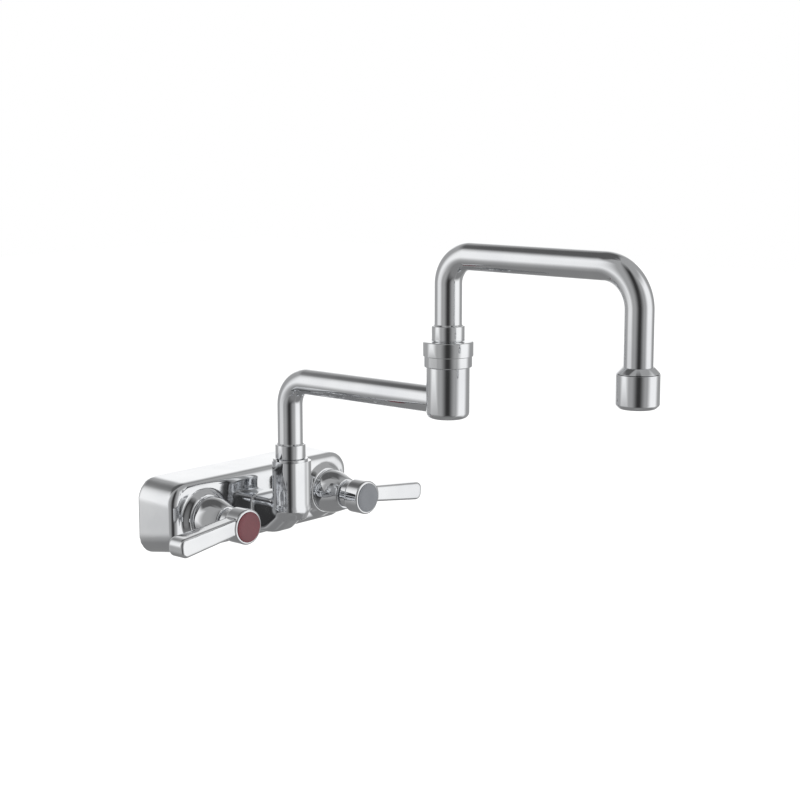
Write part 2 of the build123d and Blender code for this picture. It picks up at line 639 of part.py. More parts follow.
def gland_nut():
    """The ring nut in the mouth of the hub, with two notches for a spanner."""
    top = HUB_TOP + GLAND_FLANGE_THICK
    nut = bar(GLAND_R, GLAND_FROM, HUB_TOP) + bar(GLAND_FLANGE_R, HUB_TOP, top)
    nut -= bar(SWIVEL_R + SEAT_GAP, GLAND_FROM - MARGIN, top + MARGIN)
    notch = Box(GLAND_NOTCH, GLAND_NOTCH, GLAND_FLANGE_THICK, align=LOW)
    for side in (-1, 1):
        nut -= Pos(side * GLAND_FLANGE_R, 0, HUB_TOP) * notch
    return nut


def joint_block():
    """The cup at the end of the lower arm, which takes the upper swivel."""
    block = bar(BLOCK_R, BLOCK_BOTTOM, BLOCK_TOP)
    block = fillet(edges_at(block, BLOCK_BOTTOM), BLOCK_FOOT_R)
    block += bar(BLOCK_NECK_R, BLOCK_TOP, BLOCK_NECK_TOP)
    block -= bar(SWIVEL_R + RUNNING_GAP, BLOCK_BOTTOM + BLOCK_FLOOR, BLOCK_NECK_TOP + MARGIN)
    block -= bar(SWIVEL_FLANGE_R + LOOSE_GAP, UPPER_WASHER_Z, BLOCK_NECK_TOP + MARGIN)
    side_hole = bar(TUBE_R - TUBE_WALL, 0, TUBE_END) + bar(TUBE_R + BRAZE_GAP, TUBE_END, BLOCK_R + MARGIN)
    return block - Pos(0, 0, LOWER_ARM_Z) * Rot(-90, 0, 0) * side_hole


def joint_nut():
    """The two-step nut that holds the upper stem in the joint block."""
    nut = bar(NUT_LOWER_R, BLOCK_TOP, NUT_STEP_Z) + bar(NUT_UPPER_R, NUT_STEP_Z, NUT_TOP)
    nut = chamfer(edges_at(nut, NUT_TOP) + edges_at(nut, BLOCK_TOP), NUT_EDGE)
    nut -= bar(BLOCK_NECK_R + THREAD_GAP, BLOCK_TOP - MARGIN, BLOCK_NECK_TOP)
    return nut - bar(SWIVEL_R + SEAT_GAP, BLOCK_TOP, NUT_TOP + MARGIN)


def bent_tube(corners, radii):
    """A round tube that follows straight runs joined by bends in the plane X = 0."""
    path = FilletPolyline(*[(0, y, z) for y, z in corners], radius=radii)
    wall = Circle(TUBE_R) - Circle(TUBE_R - TUBE_WALL)
    start = Plane(origin=(0, corners[0][0], corners[0][1]), z_dir=(0, 0, 1))
    return sweep(start * wall, path=path)


def lower_tube():
    """Riser, bend and straight arm of the first spout."""
    riser = SWIVEL_1[1]
    start = LOWER_COLLAR_Z + LOWER_COLLAR_LENGTH - SOCKET_DEPTH
    end = SWIVEL_2[1] + TUBE_END
    return bent_tube([(riser, start), (riser, LOWER_ARM_Z), (end, LOWER_ARM_Z)], LOWER_BEND_R)


def upper_tube():
    """Riser, two bends, straight arm and outlet leg of the second spout."""
    riser, leg = SWIVEL_2[1], OUTLET[1]
    start = UPPER_COLLAR_Z + UPPER_COLLAR_LENGTH - SOCKET_DEPTH
    end = ADAPTER_TOP - ADAPTER_SOCKET
    corners = [(riser, start), (riser, UPPER_ARM_Z), (leg, UPPER_ARM_Z), (leg, end)]
    return bent_tube(corners, [UPPER_BEND_R, OUTLET_BEND_R])


# ---------------------------------------------------------------- outlet pieces
def outlet_adapter():
    """The tapered end that is brazed on the outlet leg and carries the aerator thread."""
    lip = TUBE_R + ADAPTER_LIP
    adapter = turned((0, TAPER_BOTTOM), (AERATOR_R, TAPER_BOTTOM), (lip, ADAPTER_TOP), (0, ADAPTER_TOP))
    adapter += bar(ADAPTER_THREAD_R, ADAPTER_BOTTOM, TAPER_BOTTOM)
    adapter -= bar(TUBE_R + BRAZE_GAP, ADAPTER_TOP - ADAPTER_SOCKET, ADAPTER_TOP + MARGIN)
    return adapter - bar(TUBE_R - TUBE_WALL, ADAPTER_BOTTOM - MARGIN, ADAPTER_TOP)


def aerator_shell():
    """The polished shell that screws on the adapter and holds the insert by its lip."""
    bore = ADAPTER_THREAD_R + THREAD_GAP
    shell = bar(AERATOR_R, AERATOR_BOTTOM, TAPER_BOTTOM)
    shell = chamfer(edges_at(shell, AERATOR_BOTTOM), AERATOR_CHAMFER)
    shell -= bar(bore, SCREEN_FROM, TAPER_BOTTOM + MARGIN)
    return shell - bar(bore - AERATOR_LIP, AERATOR_BOTTOM - MARGIN, TAPER_BOTTOM)


def outlet_washer():
    """The flat rubber washer between the adapter and the insert."""
    bore = TUBE_R - TUBE_WALL + LOOSE_GAP
    return pipe(ADAPTER_THREAD_R - LOOSE_GAP, bore, INSERT_TO, ADAPTER_BOTTOM)


def aerator_insert():
    """The plastic plug with a ring of small holes that breaks up the stream."""
    insert = bar(ADAPTER_THREAD_R - LOOSE_GAP, INSERT_FROM, INSERT_TO)
    hole = bar(INSERT_HOLE_R, INSERT_FROM - MARGIN, INSERT_TO + MARGIN)
    for step in range(INSERT_HOLES):
        insert -= Rot(0, 0, 360 * step / INSERT_HOLES) * Pos(INSERT_RING_R, 0, 0) * hole
    return insert


def aerator_screen():
    """The perforated disc under the insert, at the mouth of the outlet."""
    radius = ADAPTER_THREAD_R - LOOSE_GAP
    screen = bar(radius, SCREEN_FROM, INSERT_FROM)
    opening = bar(SCREEN_HOLE_R, SCREEN_FROM - MARGIN, INSERT_FROM + MARGIN)
    rows = int((radius - AERATOR_LIP - SCREEN_HOLE_R) / SCREEN_PITCH)
    for row in range(-rows, rows + 1):
        for column in range(-rows, rows + 1):
            x, y = row * SCREEN_PITCH, column * SCREEN_PITCH
            if (x * x + y * y) ** 0.5 < radius - AERATOR_LIP - SCREEN_HOLE_R:
                screen -= Pos(x, y, 0) * opening
    return screen


# ---------------------------------------------------------------- the sub-parts
def save_valve(name, side):
    """Writes the pieces of one valve and its handle, on the side -1 for hot or 1 for cold."""
    pieces = {
        "seat_seal": seat_seal(),
        "cartridge_cage": cartridge_cage(),
        "fixed_disc": fixed_disc(),
        "moving_disc": moving_disc(),
        "spindle": spindle(),
        "spindle_rings": spindle_rings(),
        "spindle_clip": spindle_clip(),
        "cartridge_body": cartridge_body(),
        "face_ring": face_ring(),
        "bonnet_cap": bonnet_cap(),
        "lever": lever(),
        "handle_screw": handle_screw(),
        "index_button": index_button(),
    }
    for piece, shape in pieces.items():
        if side < 0:
            shape = shape.mirror(Plane.YZ)
        save(f"{name}_{piece}", outward(side * VALVE_X) * shape)


def save_spout():
    """Writes the pieces of the two swivels, the two tubes and the outlet."""
    first, second, outlet = upright(SWIVEL_1), upright(SWIVEL_2), upright(OUTLET)
    lower_stem = swivel_stem(LOWER_STEM_Z, LOWER_FLANGE_Z, LOWER_COLLAR_Z, LOWER_COLLAR_LENGTH)
    upper_stem = swivel_stem(UPPER_STEM_Z, UPPER_FLANGE_Z, UPPER_COLLAR_Z, UPPER_COLLAR_LENGTH)
    save("hub_gland_nut", first * gland_nut())
    save("hub_thrust_washer", first * thrust_washer(LOWER_WASHER_Z))
    save("lower_swivel_stem", first * lower_stem)
    save("lower_stem_rings", first * swivel_rings(LOWER_STEM_Z))
    save("lower_spout_tube", lower_tube())
    save("joint_block", second * joint_block())
    save("joint_thrust_washer", second * thrust_washer(UPPER_WASHER_Z))
    save("joint_nut", second * joint_nut())
    save("upper_swivel_stem", second * upper_stem)
    save("upper_stem_rings", second * swivel_rings(UPPER_STEM_Z))
    save("upper_spout_tube", upper_tube())
    save("outlet_adapter", outlet * outlet_adapter())
    save("aerator_shell", outlet * aerator_shell())
    save("outlet_washer", outlet * outlet_washer())
    save("aerator_insert", outlet * aerator_insert())
    save("aerator_screen", outlet * aerator_screen())


os.makedirs("parts", exist_ok=True)
save("body_casting", body_casting())
save_valve("hot", -1)
save_valve("cold", 1)
save_spout()
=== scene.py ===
# %% [markdown]
# A chromed wall faucet with two lever handles and a double-jointed spout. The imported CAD
# model is the fixed frame: its solids give every place and every joint. Blender adds
# what the eye wants from plated brass: soft cast corners, crisp machined rims and a
# polish that is never quite even. All sizes below are millimetres until the last moment.

import json
import bpy
import bmesh
from math import radians, sqrt, tau
from mathutils import Matrix, Vector


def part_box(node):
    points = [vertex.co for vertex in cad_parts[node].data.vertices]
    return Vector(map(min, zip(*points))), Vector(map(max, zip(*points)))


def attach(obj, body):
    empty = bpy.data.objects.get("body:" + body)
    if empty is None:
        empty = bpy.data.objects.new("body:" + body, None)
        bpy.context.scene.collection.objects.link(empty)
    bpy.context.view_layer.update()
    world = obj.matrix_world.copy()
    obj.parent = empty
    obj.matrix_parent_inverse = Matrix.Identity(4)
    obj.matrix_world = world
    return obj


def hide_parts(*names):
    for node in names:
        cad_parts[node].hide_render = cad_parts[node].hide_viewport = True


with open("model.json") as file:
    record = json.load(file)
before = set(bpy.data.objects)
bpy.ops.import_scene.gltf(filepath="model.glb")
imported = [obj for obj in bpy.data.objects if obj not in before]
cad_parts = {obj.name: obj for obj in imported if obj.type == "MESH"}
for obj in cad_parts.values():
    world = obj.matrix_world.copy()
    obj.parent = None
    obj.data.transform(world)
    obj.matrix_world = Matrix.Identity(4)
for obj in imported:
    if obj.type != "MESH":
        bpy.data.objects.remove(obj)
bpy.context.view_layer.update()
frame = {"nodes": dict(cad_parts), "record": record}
MM = 0.001

# %% [markdown]
# Every turned piece of the faucet is placed by its CAD node's box, so the axes and the
# levels come from the frame. An outward piece stands on a valve axis and is measured in
# depth from the wall; an upright one stands on a swivel axis.

# %% Places read from the frame
def centre(node):
    """The middle of a CAD node's box, in millimetres."""
    low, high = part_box(node)
    return (low + high) / 2 / MM


def level(node, axis, end):
    """The low (0) or high (1) side of a CAD node's box along one axis, in millimetres."""
    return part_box(node)[end][axis] / MM


def radius(node):
    """Half the width of a CAD node's box, in millimetres."""
    return (level(node, 0, 1) - level(node, 0, 0)) / 2


def outward(x):
    """Local Z becomes depth out of the wall, on the valve axis at x."""
    return Matrix.Translation((x, 0, 0)) @ Matrix.Rotation(radians(90), 4, "X")


def upright(y):
    """Local Z stays height, on the vertical axis at y."""
    return Matrix.Translation((0, y, 0))


VALVES = {"hot": centre("hot_bonnet_cap").x, "cold": centre("cold_bonnet_cap").x}
HUB_Y = centre("hub_gland_nut").y
JOINT_Y = centre("joint_nut").y
OUTLET_Y = centre("aerator_shell").y
print("valve axes", VALVES)
print("swivels at y", round(HUB_Y, 1), round(JOINT_Y, 1), "outlet", round(OUTLET_Y, 1))

# %% [markdown]
# Bright plate is a metal shader with very little roughness. What makes it believable is
# what the polisher leaves: long shallow waves that bend a reflection, a haze that comes
# and goes, and, on lathe-turned pieces, faint rings round the axis. One function
# makes all three kinds, because they differ only in how the noise is stretched.

# %% Finishes of the metal
def add(tree, kind, **inputs):
    """A shader node with some of its sockets set."""
    node = tree.nodes.new(kind)
    for key, value in inputs.items():
        node.inputs[key.replace("_", " ")].default_value = value
    return node


def stretched_noise(tree, stretch, scale, detail):
    """Noise in object coordinates, stretched by three factors."""
    place = tree.nodes.new("ShaderNodeTexCoord")
    mapping = add(tree, "ShaderNodeMapping", Scale=stretch)
    noise = add(tree, "ShaderNodeTexNoise", Scale=scale, Detail=detail)
    tree.links.new(place.outputs["Object"], mapping.inputs["Vector"])
    tree.links.new(mapping.outputs["Vector"], noise.inputs["Vector"])
    return noise.outputs["Fac"]


def spread(tree, value, low, high):
    """Maps noise from its usual 0.3 to 0.7 onto a range."""
    node = tree.nodes.new("ShaderNodeMapRange")
    for key, number in (("From Min", 0.3), ("From Max", 0.7), ("To Min", low), ("To Max", high)):
        node.inputs[key].default_value = number
    tree.links.new(value, node.inputs["Value"])
    return node.outputs["Result"]


def bump(tree, height, distance, under=None):
    """A bump of some metres, on top of another one."""
    node = add(tree, "ShaderNodeBump", Strength=1.0, Distance=distance)
    tree.links.new(height, node.inputs["Height"])
    if under is not None:
        tree.links.new(under, node.inputs["Normal"])
    return node.outputs["Normal"]


CLOUD_SCALE, HAZE_SCALE = 35.0, 120.0
EVEN = (1, 1, 1)


def finish(name, dark, light, haze, waves, lines=None, metallic=1.0):
    """Two colours, a range of roughness, (scale, metres) of waves, and turned lines if any.

    Lines are (stretch, scale, metres). A finish that isn't a metal has metallic 0.
    """
    material = bpy.data.materials.new(name)
    material.use_nodes = True
    tree = material.node_tree
    shader = tree.nodes["Principled BSDF"]
    shader.inputs["Metallic"].default_value = metallic
    cloud = stretched_noise(tree, EVEN, CLOUD_SCALE, 3.0)
    mix = tree.nodes.new("ShaderNodeMix")
    mix.data_type = "RGBA"
    mix.inputs["A"].default_value = (*dark, 1)
    mix.inputs["B"].default_value = (*light, 1)
    tree.links.new(spread(tree, cloud, 0.0, 1.0), mix.inputs["Factor"])
    tree.links.new(mix.outputs["Result"], shader.inputs["Base Color"])
    haze_noise = stretched_noise(tree, EVEN, HAZE_SCALE, 6.0)
    tree.links.new(spread(tree, haze_noise, *haze), shader.inputs["Roughness"])
    normal = bump(tree, stretched_noise(tree, EVEN, waves[0], 1.0), waves[1])
    if lines:
        normal = bump(tree, stretched_noise(tree, lines[0], lines[1], 4.0), lines[2], normal)
    tree.links.new(normal, shader.inputs["Normal"])
    return material


CHROME = ((0.72, 0.73, 0.75), (0.80, 0.81, 0.82))
UPRIGHT_LINES = ((2, 2, 60), 40.0, 0.000004)
OUTWARD_LINES = ((2, 60, 2), 40.0, 0.000004)
cast_plate = finish("plated_casting", *CHROME, (0.03, 0.09), (55.0, 0.00016))
tube_plate = finish("plated_tube", *CHROME, (0.03, 0.08), (70.0, 0.00006))
turned_up = finish("plated_turning_upright", *CHROME, (0.03, 0.08), (60.0, 0.00003), UPRIGHT_LINES)
turned_out = finish("plated_turning_outward", *CHROME, (0.03, 0.08), (60.0, 0.00003), OUTWARD_LINES)
bare_brass = finish("bare_brass", (0.55, 0.40, 0.20), (0.72, 0.56, 0.30), (0.22, 0.38), (80.0, 0.00002))
steel = finish("stainless_steel", (0.50, 0.51, 0.52), (0.64, 0.65, 0.66), (0.18, 0.34), (200.0, 0.00001))
rubber = finish("moulded_rubber", (0.025, 0.025, 0.027), (0.05, 0.05, 0.052), (0.55, 0.8),
                (900.0, 0.00003), metallic=0.0)
ceramic = finish("lapped_ceramic", (0.84, 0.84, 0.80), (0.92, 0.92, 0.90), (0.2, 0.35),
                 (600.0, 0.00001), metallic=0.0)
white_plastic = finish("moulded_white", (0.76, 0.77, 0.78), (0.85, 0.86, 0.87), (0.35, 0.5),
                       (500.0, 0.00002), metallic=0.0)
grey_plastic = finish("moulded_grey", (0.24, 0.25, 0.26), (0.33, 0.34, 0.35), (0.4, 0.55),
                      (500.0, 0.00002), metallic=0.0)
hot_index = finish("index_dark_red", (0.13, 0.036, 0.044), (0.20, 0.054, 0.066), (0.12, 0.24),
                   (300.0, 0.00002), metallic=0.0)
cold_index = finish("index_slate", (0.165, 0.175, 0.190), (0.215, 0.225, 0.242), (0.12, 0.24),
                    (300.0, 0.00002), metallic=0.0)
print("finishes:", len(bpy.data.materials))

# %% [markdown]
# A hidden piece keeps its CAD mesh, which is already the right shape, and takes the
# finish of its material slot. The pieces that show are rebuilt further down.

# %% Finishes for the CAD pieces
SLOT_FINISH = {
    "polished_chrome": turned_up,
    "raw_brass": bare_brass,
    "rubber": rubber,
    "disc_ceramic": ceramic,
    "cage_plastic": white_plastic,
    "washer_plastic": grey_plastic,
    "spring_steel": steel,
    "hot_index": hot_index,
    "cold_index": cold_index,
}
for part in frame["record"]["subparts"]:
    node = frame["nodes"][part["node"]]
    node.data.materials.clear()
    node.data.materials.append(SLOT_FINISH[part["material_slot"]])

# %% [markdown]
# A few helpers carry all the modelling. `turned` draws half a section and spins it, the
# way a lathe makes the real piece, and `lathe` rounds its rims as well. `grown` lets cast
# forms flow together and `machined` cuts into them. `piece` scales the work to metres,
# marks crisp edges and hands it to the frame.

# %% Modelling helpers
TURN_STEPS = 96
CRISP = radians(32)
MERGE_DISTANCE = 0.0005
ON_RIM = 0.01


def turned(points):
    """A closed solid of revolution from (radius, height) points round its half section."""
    bm = bmesh.new()
    verts = [bm.verts.new((reach, 0, height)) for reach, height in points]
    edges = [bm.edges.new(pair) for pair in zip(verts, verts[1:] + verts[:1])]
    bmesh.ops.spin(bm, geom=verts + edges, cent=(0, 0, 0), axis=(0, 0, 1), angle=tau,
                   steps=TURN_STEPS, use_merge=True)
    close_up(bm)
    return bm


def close_up(bm):
    """Merges doubles, drops what collapsed on an axis and turns the faces outwards."""
    bmesh.ops.remove_doubles(bm, verts=bm.verts, dist=MERGE_DISTANCE)
    bmesh.ops.dissolve_degenerate(bm, dist=MERGE_DISTANCE, edges=bm.edges)
    loose = [edge for edge in bm.edges if not edge.link_faces]
    bmesh.ops.delete(bm, geom=loose, context="EDGES")
    bmesh.ops.recalc_face_normals(bm, faces=bm.faces)


def rim(bm, reach, height):
    """The circle of edges at one radius and height of an upright turned piece."""
    def on_it(vert):
        return abs(vert.co.xy.length - reach) < ON_RIM and abs(vert.co.z - height) < ON_RIM
    return [edge for edge in bm.edges if all(on_it(vert) for vert in edge.verts)]


def soften(bm, edges, width, segments):
    """Rounds edges off."""
    bmesh.ops.bevel(
        bm, geom=edges, offset=width, offset_type="OFFSET", segments=segments,
        profile=0.5, affect="EDGES", material=-1, clamp_overlap=True,
    )


def lathe(points, rims=()):
    """A turned piece with (radius, height, width) of every rim that is rounded."""
    bm = turned(points)
    for reach, height, width in rims:
        soften(bm, rim(bm, reach, height), width, 4)
    return bm


def shaded(bm):
    """Smooth faces, with a crisp edge wherever two of them meet at an angle."""
    for face in bm.faces:
        face.smooth = True
    for edge in bm.edges:
        edge.smooth = len(edge.link_faces) == 2 and edge.calc_face_angle(0) < CRISP


def piece(name, bm, place, body, slot, finish_used, *nodes):
    """A finished piece in metres that rides on a body and stands for some CAD nodes."""
    bmesh.ops.transform(bm, matrix=Matrix.Scale(MM, 4) @ place, verts=bm.verts)
    shaded(bm)
    mesh = bpy.data.meshes.new(name)
    bm.to_mesh(mesh)
    bm.free()
    mesh.materials.append(finish_used)
    made = bpy.data.objects.new(name, mesh)
    bpy.context.scene.collection.objects.link(made)
    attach(made, body)
    if nodes:
        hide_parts(*nodes)
    print(f"{name}: {len(mesh.polygons)} faces, replaces {list(nodes)}")
    return made


def modified(bm, set_up):
    """What a bmesh becomes behind the modifiers that set_up puts on its object."""
    work = bpy.data.objects.new("work", bpy.data.meshes.new("work"))
    bpy.context.scene.collection.objects.link(work)
    bm.to_mesh(work.data)
    bm.free()
    set_up(work)
    result = bmesh.new()
    result.from_object(work, bpy.context.evaluated_depsgraph_get())
    bpy.data.objects.remove(work)
    return result


def grown(shells, voxel, rounds):
    """Closed shells, laid into one another, grown into one cast skin and eased."""
    def set_up(work):
        remesh = work.modifiers.new("grow", "REMESH")
        remesh.mode = "VOXEL"
        remesh.voxel_size = voxel
        ease = work.modifiers.new("ease", "SMOOTH")
        ease.factor = 0.5
        ease.iterations = rounds
    return modified(joined(shells), set_up)


def machined(bm, cutters):
    """A bmesh that closed tools have been cut out of, with crisp edges."""
    tools = bpy.data.objects.new("tools", bpy.data.meshes.new("tools"))
    bpy.context.scene.collection.objects.link(tools)
    joined(cutters).to_mesh(tools.data)

    def set_up(work):
        cut = work.modifiers.new("cut", "BOOLEAN")
        cut.operation = "DIFFERENCE"
        cut.solver = "EXACT"
        cut.object = tools
    result = modified(bm, set_up)
    bpy.data.objects.remove(tools)
    return result


def joined(parts):
    """Several bmeshes, each with its own place, in one."""
    whole = bmesh.new()
    for bm, place in parts:
        bmesh.ops.transform(bm, matrix=place, verts=bm.verts)
        carrier = bpy.data.meshes.new("carrier")
        bm.to_mesh(carrier)
        bm.free()
        whole.from_mesh(carrier)
        bpy.data.meshes.remove(carrier)
    return whole


def bar(reach, start, end):
    """A plain round bar on local Z."""
    return turned([(0, start), (reach, start), (reach, end), (0, end)])


def box(x, y, z):
    """A box between three (low, high) pairs."""
    bm = bmesh.new()
    bmesh.ops.create_cube(bm, size=1.0)
    for vert in bm.verts:
        vert.co = [pair[1] if value > 0 else pair[0] for value, pair in zip(vert.co, (x, y, z))]
    return bm


def along(bm, axis):
    """The edges of a bmesh that run along one axis."""
    return [edge for edge in bm.edges
            if abs((edge.verts[0].co - edge.verts[1].co).normalized()[axis]) > 0.9]


print("helpers ready")

# %% [markdown]
# The body is a brass casting: sand gives it soft corners and every form grows out of the
# next one. A boolean union would leave hard creases between block, bosses and nose, so
# the shells are only laid into one another and a voxel remesh grows one skin over them
# all. The machinist's cuts come last, as a boolean, and so they stay sharp. Each cutter is
# one closed section: two that overlap can leave scraps or spoil the whole cut.

# %% The casting
BASE_TOP = 22.4
BASE_BOTTOM = level("body_casting", 2, 0)
BASE_HALF = level("body_casting", 0, 1)
BASE_DEPTH = 29.5
END_DRAFT, TOP_DRAFT, BOTTOM_DRAFT = 0.4, 1.0, 4.4
CORNER_R, FRONT_EDGE_R = 12.5, 5.0
POCKET_WALL, POCKET_DEPTH = 3.5, 12.0
RIB_HALF, RIB_ABOVE_BOTTOM, RIB_BELOW_TOP = 5, 2.8, 1
HUB_TOP = level("body_casting", 2, 1)
HUB_R, HUB_FRONT, HUB_CORNER_R = 11.0, 10.7, 7.5
HUB_ROOT_R, HUB_ROOT_LOW = 9.5, -6
WATER_R, HUB_STEM_R, GLAND_BORE_R = 5.0, 7.8, 9.45
STEM_FLOOR, GLAND_FROM = 4, 18.8
FACING_R, FACING_THICK = HUB_R + 6, 5
FOOT_LOW, FOOT_TOP, FOOT_STEP = -1.0, 1.2, 0.5
NOSE_HALF, NOSE_TOP, NOSE_FRONT = 10.4, 6.0, 9.6
KEEL_BOTTOM, KEEL_SETBACK = -15.0, 5.9
CHEEK_R, NOSE_EDGE_R = 6.5, 2.6
BOSS_R, BOSS_TIP_R, BOSS_EDGE_R = 19.4, 14.1, 0.4
BOSS_FOOT, BOSS_FLARE, BOSS_FRONT = 22, 25.5, -level("hot_bonnet_cap", 1, 1)
INLET_R, INLET_DEPTH, INLET_WALL = 9.9, 12.0, 4.4
THREAD_ROOT_R, INLET_CHAMFER = INLET_R + 0.5, 1.8
SEAT_HOLE_R, SEAT_DEPTH = 5, 14.0
CHAMBER_R, CAP_THREAD_R, CAP_THREAD_FROM = 9, 10.35, 26.2
OVERLAP = 2
CAST_VOXEL, CAST_ROUNDS = 0.64, 7


def base_block():
    """The drafted block, hollowed from behind as the foundry cores it."""
    bm = box((-BASE_HALF, BASE_HALF), (-BASE_DEPTH, 0), (BASE_BOTTOM, BASE_TOP))
    for vert in bm.verts:
        if vert.co.y < 0:
            vert.co.x -= END_DRAFT if vert.co.x > 0 else -END_DRAFT
            vert.co.z -= TOP_DRAFT if vert.co.z > 0 else -BOTTOM_DRAFT
    soften(bm, along(bm, 1), CORNER_R, 14)
    front_face = min(bm.faces, key=lambda face: face.calc_center_median().y)
    soften(bm, list(front_face.edges), FRONT_EDGE_R, 8)
    back_face = max(bm.faces, key=lambda face: face.calc_center_median().y)
    bmesh.ops.inset_region(bm, faces=[back_face], thickness=POCKET_WALL)
    core = bmesh.ops.extrude_face_region(bm, geom=[back_face])
    floor_verts = [item for item in core["geom"] if isinstance(item, bmesh.types.BMVert)]
    bmesh.ops.translate(bm, verts=floor_verts, vec=(0, -POCKET_DEPTH, 0))
    bmesh.ops.delete(bm, geom=[back_face], context="FACES_ONLY")
    bmesh.ops.recalc_face_normals(bm, faces=bm.faces)
    return bm


def nose():
    """The nose and keel under the spout hub, drawn from the side and given a width."""
    tip = [(HUB_Y, NOSE_TOP), (HUB_Y - NOSE_FRONT, FOOT_LOW), (HUB_Y + KEEL_SETBACK, KEEL_BOTTOM)]
    bm = bmesh.new()
    outline = [(-SEAT_DEPTH, NOSE_TOP), *tip, (-SEAT_DEPTH, KEEL_BOTTOM)]
    face = bm.faces.new([bm.verts.new((-NOSE_HALF, y, z)) for y, z in outline])
    swept = bmesh.ops.extrude_face_region(bm, geom=[face])
    moved = [item for item in swept["geom"] if isinstance(item, bmesh.types.BMVert)]
    bmesh.ops.translate(bm, verts=moved, vec=(2 * NOSE_HALF, 0, 0))
    bmesh.ops.recalc_face_normals(bm, faces=bm.faces)
    cheeks = [edge for edge in bm.edges if edge not in along(bm, 0)
              and all(vert.co.y < HUB_Y + 7 for vert in edge.verts)]
    soften(bm, cheeks, CHEEK_R, 8)
    sharp = [edge for edge in bm.edges if edge.calc_face_angle(0) > radians(35)]
    soften(bm, sharp, NOSE_EDGE_R, 4)
    return bm


def hub_front(step, low, high):
    """The flat front half of the hub, with its rounded upright corners."""
    bm = box((-HUB_R - step, HUB_R + step), (-HUB_FRONT - step, 0), (low, high))
    front = [edge for edge in along(bm, 2) if edge.verts[0].co.y < -1]
    soften(bm, front, HUB_CORNER_R + step, 10)
    return bm


IDENTITY = Matrix.Identity(4)
hub_place = upright(HUB_Y)
foot_r = HUB_R + FOOT_STEP
hub_back = [
    (0, HUB_ROOT_LOW), (HUB_ROOT_R, HUB_ROOT_LOW), (foot_r, FOOT_LOW), (foot_r, FOOT_TOP),
    (HUB_R, FOOT_TOP + 1), (HUB_R, HUB_TOP + OVERLAP), (0, HUB_TOP + OVERLAP),
]
rib = box((-RIB_HALF, RIB_HALF), (-POCKET_DEPTH - OVERLAP, 0),
          (BASE_BOTTOM + RIB_ABOVE_BOTTOM, BASE_TOP - RIB_BELOW_TOP))
shells = [
    (base_block(), IDENTITY),
    (rib, IDENTITY),
    (nose(), IDENTITY),
    (turned(hub_back), hub_place),
    (hub_front(0, FOOT_LOW, HUB_TOP + OVERLAP), hub_place),
    (hub_front(FOOT_STEP, FOOT_LOW, FOOT_TOP), hub_place),
]
hub_tool = [
    (0, 0), (WATER_R, 0), (WATER_R, STEM_FLOOR), (HUB_STEM_R, STEM_FLOOR),
    (HUB_STEM_R, GLAND_FROM), (GLAND_BORE_R, GLAND_FROM), (GLAND_BORE_R, HUB_TOP),
    (FACING_R, HUB_TOP), (FACING_R, HUB_TOP + FACING_THICK), (0, HUB_TOP + FACING_THICK),
]
tools = [(turned(hub_tool), hub_place)]
inlet_pillar = [(10, 0), (INLET_R + INLET_WALL, 0), (INLET_R + INLET_WALL, 14), (10, 14)]
boss = [(0, BOSS_FOOT), (BOSS_R, BOSS_FOOT), (BOSS_R, BOSS_FLARE), (BOSS_TIP_R, BOSS_FRONT), (0, BOSS_FRONT)]
valve_bore = [
    (0, -1), (THREAD_ROOT_R + INLET_CHAMFER, -1), (THREAD_ROOT_R, 0.8), (THREAD_ROOT_R, INLET_DEPTH),
    (SEAT_HOLE_R, INLET_DEPTH), (SEAT_HOLE_R, SEAT_DEPTH), (CHAMBER_R, SEAT_DEPTH),
    (CHAMBER_R, CAP_THREAD_FROM), (CAP_THREAD_R, CAP_THREAD_FROM),
    (CAP_THREAD_R, BOSS_FRONT + OVERLAP), (0, BOSS_FRONT + OVERLAP),
]
for x in VALVES.values():
    shells.append((turned(inlet_pillar), outward(x)))
    shells.append((lathe(boss, [(BOSS_TIP_R, BOSS_FRONT, BOSS_EDGE_R)]), outward(x)))
    tools.append((turned(valve_bore), outward(x)))
casting = machined(grown(shells, CAST_VOXEL, CAST_ROUNDS), tools)
piece("faucet_casting", casting, IDENTITY, "faucet_body", "polished_chrome", cast_plate, "body_casting")

# %% [markdown]
# The inlets are tapped for pipe nipples. A tap leaves a helix, so one vee of the thread
# is spun round the bore while it is carried inwards; both ends are then faced off flat,
# as the drill point and the chamfer leave them. The cut metal shows its brass.

# %% Inlet threads
THREAD_PITCH = 1.81
STEPS_A_TURN = 60
CREST_IN, ROOT_OUT, VEE_HALF = 0.5, 0.6, 0.47
FIRST_CUT, LAST_CUT = 0.9, INLET_DEPTH - 0.4


def vee_thread(mean_radius, start, end):
    """A coil of vee thread about local Z, faced off at two heights."""
    bm = bmesh.new()
    root = mean_radius + ROOT_OUT
    vee = [(root, -VEE_HALF), (mean_radius - CREST_IN, 0.0), (root, VEE_HALF)]
    low = start - THREAD_PITCH
    verts = [bm.verts.new((reach, 0, low + share * THREAD_PITCH)) for reach, share in vee]
    edges = [bm.edges.new(pair) for pair in zip(verts, verts[1:] + verts[:1])]
    turns = (end - start) / THREAD_PITCH + 2
    steps = int(turns * STEPS_A_TURN)
    bmesh.ops.spin(bm, geom=verts + edges, cent=(0, 0, 0), axis=(0, 0, 1), angle=tau * turns,
                   steps=steps, dvec=(0, 0, THREAD_PITCH * turns / steps), use_merge=False)
    for height, outwards in ((start, -1), (end, 1)):
        bmesh.ops.bisect_plane(bm, geom=bm.verts[:] + bm.edges[:] + bm.faces[:], clear_outer=True,
                               plane_co=(0, 0, height), plane_no=(0, 0, outwards))
    bmesh.ops.holes_fill(bm, edges=[edge for edge in bm.edges if edge.is_boundary])
    bmesh.ops.recalc_face_normals(bm, faces=bm.faces)
    return bm


